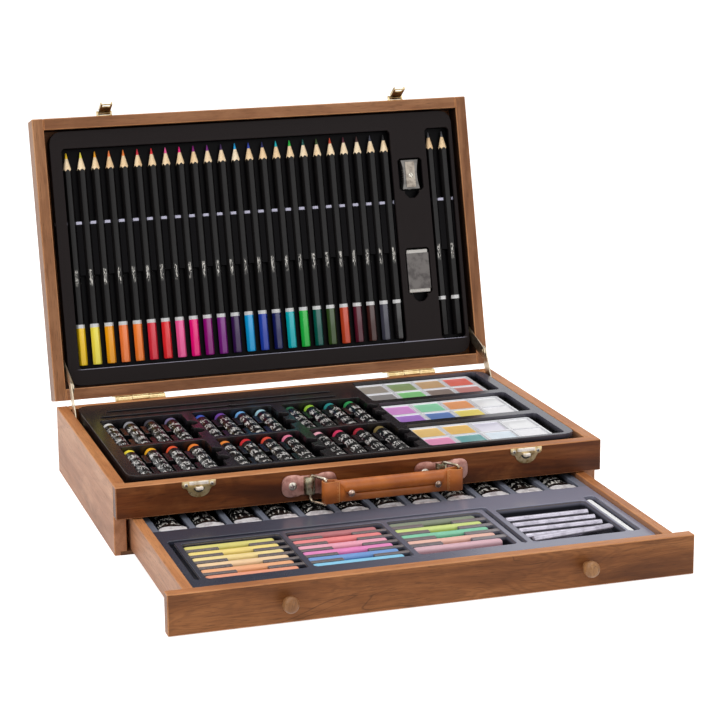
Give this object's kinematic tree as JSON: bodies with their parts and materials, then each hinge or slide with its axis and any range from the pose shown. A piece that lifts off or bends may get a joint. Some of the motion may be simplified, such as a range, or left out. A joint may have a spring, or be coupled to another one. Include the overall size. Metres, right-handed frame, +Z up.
{
  "type": "drawer box",
  "caption": "Hinged wooden artist's case with fitted lid tray, upper tray, sliding drawer, folding stays, latches and a leather handle.",
  "frame": {"origin": "on the floor, under the middle of the case", "axes": "+Z up, +Y to the back (hinge side), +X to the right seen from the front"},
  "size_m": [0.38, 0.4887, 0.2955],
  "materials": {
    "blade_steel": "ground blade",
    "brass": "pale brass-plated steel",
    "cap_plastic": "moulded cap",
    "cast_silver": "die-cast sharpener body",
    "chalk": "soft chalk bar",
    "charcoal": "pressed charcoal",
    "clear_plastic": "clear moulded palette",
    "leather": "tan, folded",
    "nickel": "nickel-plated wire and rivets",
    "oil_pastel": "waxy",
    "paint": "dry watercolour cake",
    "paper_wrap": "coated black paper",
    "pencil_lacquer": "black lacquered wood",
    "pencil_lead": "coloured core",
    "pencil_wood": "bare cedar",
    "plywood": "stained thin plywood",
    "rubber_white": "soft eraser",
    "sleeve_card": "printed card left bare",
    "steel_screw": "small screws",
    "tray_plastic": "vacuum-formed sheet, glossy",
    "tube_foil": "lacquered foil tube with bare crimp",
    "turned_wood": "turned and oiled",
    "walnut_wood": "stained and satin lacquered",
    "white_chalk": "white bar"
  },
  "bodies": {
    "case": {"case_side_left": "walnut_wood", "case_side_right": "walnut_wood", "case_back": "walnut_wood", "front_rail": "walnut_wood", "case_bottom": "plywood", "tray_shelf": "plywood", "upper_tray": "tray_plastic", "pastel_sticks": "oil_pastel", "pastel_wrappers": "paper_wrap", "palette_trays": "clear_plastic", "paint_pans": "paint", "handle_plates": "nickel", "catch_plates": "brass", "hinge_leaves_case": "brass", "hinge_pins": "steel_screw", "stay_case_pivots": "nickel"},
    "lid": {"lid_panel": "plywood", "lid_side_left": "walnut_wood", "lid_side_right": "walnut_wood", "lid_front_board": "walnut_wood", "lid_back_board": "walnut_wood", "lid_tray": "tray_plastic", "pencil_barrels": "pencil_lacquer", "pencil_tips": "pencil_wood", "pencil_leads": "pencil_lead", "sharpener_body": "cast_silver", "sharpener_blade": "blade_steel", "eraser": "rubber_white", "eraser_sleeve": "sleeve_card", "hinge_leaves_lid": "brass", "latch_brackets": "brass", "stay_lid_pivots": "nickel"},
    "drawer": {"drawer_front": "walnut_wood", "drawer_side_left": "walnut_wood", "drawer_side_right": "walnut_wood", "drawer_back": "walnut_wood", "drawer_bottom": "plywood", "drawer_tray": "tray_plastic", "drawer_knobs": "turned_wood", "pastel_bars": "chalk", "white_bar": "white_chalk", "charcoal_sticks": "charcoal", "tube_bodies": "tube_foil", "tube_caps": "cap_plastic"},
    "stay_lower_left": {"stay_lower_left": "brass"},
    "stay_upper_left": {"stay_upper_left": "brass"},
    "stay_lower_right": {"stay_lower_right": "brass"},
    "stay_upper_right": {"stay_upper_right": "brass"},
    "ring_left": {"handle_ring_left": "nickel"},
    "ring_right": {"handle_ring_right": "nickel"},
    "handle": {"handle_strap": "leather", "handle_rivets": "nickel"},
    "latch_left": {"latch_hasp_left": "brass"},
    "latch_right": {"latch_hasp_right": "brass"}
  },
  "joints": [
    {"name": "lid_hinge", "type": "hinge", "parent": "case", "child": "lid", "pos_m": [0, 0.1195, 0.0554], "axis": [1, 0, 0], "range_deg": [0, 104.5]},
    {"name": "drawer_slide", "type": "slide", "parent": "case", "child": "drawer", "axis": [0, -1, 0], "range_m": [-0.16, 0.02]},
    {"name": "stay_lower_left_pivot", "type": "hinge", "parent": "case", "child": "stay_lower_left", "pos_m": [-0.1795, 0.086, 0.0454], "axis": [1, 0, 0], "range_deg": [0, 104.5]},
    {"name": "stay_upper_left_pivot", "type": "hinge", "parent": "lid", "child": "stay_upper_left", "pos_m": [-0.1795, 0.13741, 0.0831], "axis": [1, 0, 0], "range_deg": [-104.5, 0]},
    {"name": "stay_lower_right_pivot", "type": "hinge", "parent": "case", "child": "stay_lower_right", "pos_m": [0.1795, 0.086, 0.0454], "axis": [1, 0, 0], "range_deg": [0, 104.5]},
    {"name": "stay_upper_right_pivot", "type": "hinge", "parent": "lid", "child": "stay_upper_right", "pos_m": [0.1795, 0.13741, 0.0831], "axis": [1, 0, 0], "range_deg": [-104.5, 0]},
    {"name": "ring_left_swing", "type": "hinge", "parent": "case", "child": "ring_left", "pos_m": [-0.04425, -0.1192, 0.041], "axis": [0, 0, 1], "range_deg": [-85, 25]},
    {"name": "ring_right_swing", "type": "hinge", "parent": "case", "child": "ring_right", "pos_m": [0.05925, -0.1192, 0.041], "axis": [0, 0, 1], "range_deg": [-85, 25]},
    {"name": "handle_pivot", "type": "hinge", "parent": "ring_left", "child": "handle", "pos_m": [-0.03625, -0.13306, 0.041], "axis": [0, 0, 1], "range_deg": [-25, 85]},
    {"name": "latch_left_hinge", "type": "hinge", "parent": "lid", "child": "latch_left", "pos_m": [-0.128, 0.186, 0.28496], "axis": [1, 0, 0], "range_deg": [-90, 20]},
    {"name": "latch_right_hinge", "type": "hinge", "parent": "lid", "child": "latch_right", "pos_m": [0.128, 0.186, 0.28496], "axis": [1, 0, 0], "range_deg": [-90, 20]}
  ],
  "couplings": [
    {"joint": "stay_lower_left_pivot", "follows": "lid_hinge", "ratio": 1},
    {"joint": "stay_upper_left_pivot", "follows": "lid_hinge", "ratio": -1},
    {"joint": "stay_lower_right_pivot", "follows": "lid_hinge", "ratio": 1},
    {"joint": "stay_upper_right_pivot", "follows": "lid_hinge", "ratio": -1},
    {"joint": "ring_right_swing", "follows": "ring_left_swing", "ratio": 1},
    {"joint": "handle_pivot", "follows": "ring_left_swing", "ratio": -1}
  ]
}
